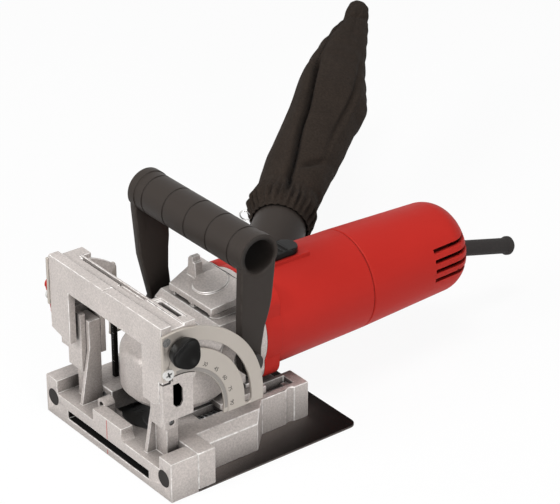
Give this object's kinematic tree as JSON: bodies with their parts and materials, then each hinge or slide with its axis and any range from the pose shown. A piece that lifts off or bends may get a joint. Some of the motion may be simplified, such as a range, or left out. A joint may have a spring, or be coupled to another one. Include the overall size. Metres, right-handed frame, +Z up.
{
  "type": "biscuit joiner",
  "caption": "Plate joiner with a plunging motor unit, circular cutter, height-adjustable tilting fence with protractor, bail handle, spring return and a dust bag on an angled tube.",
  "frame": {"origin": "middle of the front face's bottom edge, on the plane that the sole stands on", "axes": "+X to the right seen from the front, +Y back along the motor, +Z up from the sole"},
  "size_m": [0.3436, 0.4255, 0.153],
  "materials": {
    "cast_aluminium": "bead-blasted die casting",
    "machined_aluminium": "satin machined",
    "black_coating": "black powder coat",
    "steel": "ground steel",
    "blade_steel": "ground steel",
    "zinc": "bright zinc plate",
    "lamination": "varnished laminations",
    "copper": "turned copper",
    "brass": "pressed brass",
    "red_plastic": "semi-matte moulding",
    "grey_plastic": "fine-grained charcoal moulding",
    "black_plastic": "satin black moulding",
    "pad_rubber": "soft matt rubber",
    "bag_fabric": "tight black weave"
  },
  "bodies": {
    "base": {"front_casting": "cast_aluminium", "rear_casting": "cast_aluminium", "sole_plate": "black_coating", "sole_screws": "steel", "anti_slip_pads": "pad_rubber", "guide_rods": "steel", "rod_nuts": "zinc", "return_springs": "steel", "height_scale": "black_plastic", "depth_stop": "steel", "dust_chute": "grey_plastic", "chute_screws": "zinc", "bag_collar": "bag_fabric", "dust_bag": "bag_fabric", "bag_ring": "zinc"},
    "plunge_unit": {"slide_bracket": "cast_aluminium", "gear_housing": "cast_aluminium", "bearing_cover": "cast_aluminium", "spindle_bearings": "steel", "motor_bearings": "steel", "motor_shell_front": "red_plastic", "motor_shell_rear": "red_plastic", "field_coil": "lamination", "brush_holders": "brass", "shell_screws": "steel", "bail_handle": "grey_plastic", "handle_screws": "zinc", "strain_relief": "pad_rubber", "switch_body": "black_plastic", "turret_screw": "zinc"},
    "cutter": {"spindle": "steel", "crown_gear": "steel", "saw_blade": "blade_steel", "blade_nut": "steel"},
    "armature": {"armature_shaft": "steel", "armature_core": "lamination", "commutator": "copper", "cooling_fan": "grey_plastic", "pinion": "steel"},
    "height_carriage": {"carriage": "cast_aluminium", "gib_screws": "steel", "guide_stud": "steel"},
    "tilting_fence": {"fence": "cast_aluminium", "protractor": "machined_aluminium", "left_quadrant": "machined_aluminium", "plate_screws": "zinc"},
    "knob": {"tilt_knob": "black_plastic"},
    "lever": {"height_lever": "red_plastic"},
    "slider": {"power_slider": "black_plastic"},
    "lock_button": {"spindle_lock": "red_plastic"},
    "turret": {"depth_turret": "black_plastic"}
  },
  "joints": [
    {"name": "plunge", "type": "slide", "parent": "base", "child": "plunge_unit", "axis": [0, -1, 0], "range_m": [0, 0.016], "stiffness_N_per_m": 1200, "springref_m": -0.02, "deforming": ["return_springs"]},
    {"name": "cutter_spin", "type": "hinge", "parent": "plunge_unit", "child": "cutter", "pos_m": [0, 0.052, 0.008], "axis": [0, 0, 1], "continuous": true},
    {"name": "armature_spin", "type": "hinge", "parent": "plunge_unit", "child": "armature", "pos_m": [0, 0.15, 0.062], "axis": [0, 1, 0], "continuous": true},
    {"name": "fence_height", "type": "slide", "parent": "base", "child": "height_carriage", "axis": [0, 0, 1], "range_m": [-0.02, 0.012]},
    {"name": "fence_tilt", "type": "hinge", "parent": "height_carriage", "child": "tilting_fence", "pos_m": [0, 0.0115, 0.049], "axis": [1, 0, 0], "range_deg": [0, 90]},
    {"name": "tilt_clamp", "type": "hinge", "parent": "height_carriage", "child": "knob", "pos_m": [0.07, 0.0115, 0.1], "axis": [1, 0, 0], "range_deg": [-180, 0]},
    {"name": "height_clamp", "type": "hinge", "parent": "height_carriage", "child": "lever", "pos_m": [-0.066, 0.016, 0.069], "axis": [1, 0, 0], "range_deg": [0, 75]},
    {"name": "power_slide", "type": "slide", "parent": "plunge_unit", "child": "slider", "axis": [0, -1, 0], "range_m": [0, 0.008]},
    {"name": "spindle_lock_press", "type": "slide", "parent": "plunge_unit", "child": "lock_button", "axis": [1, 0, 0], "range_m": [0, 0.0025], "stiffness_N_per_m": 800, "springref_m": -0.002},
    {"name": "turret_turn", "type": "hinge", "parent": "plunge_unit", "child": "turret", "pos_m": [-0.047, 0.063, 0.0355], "axis": [0, 1, 0], "continuous": true}
  ],
  "couplings": [
    {"joint": "cutter_spin", "follows": "armature_spin", "ratio": 0.36364}
  ]
}
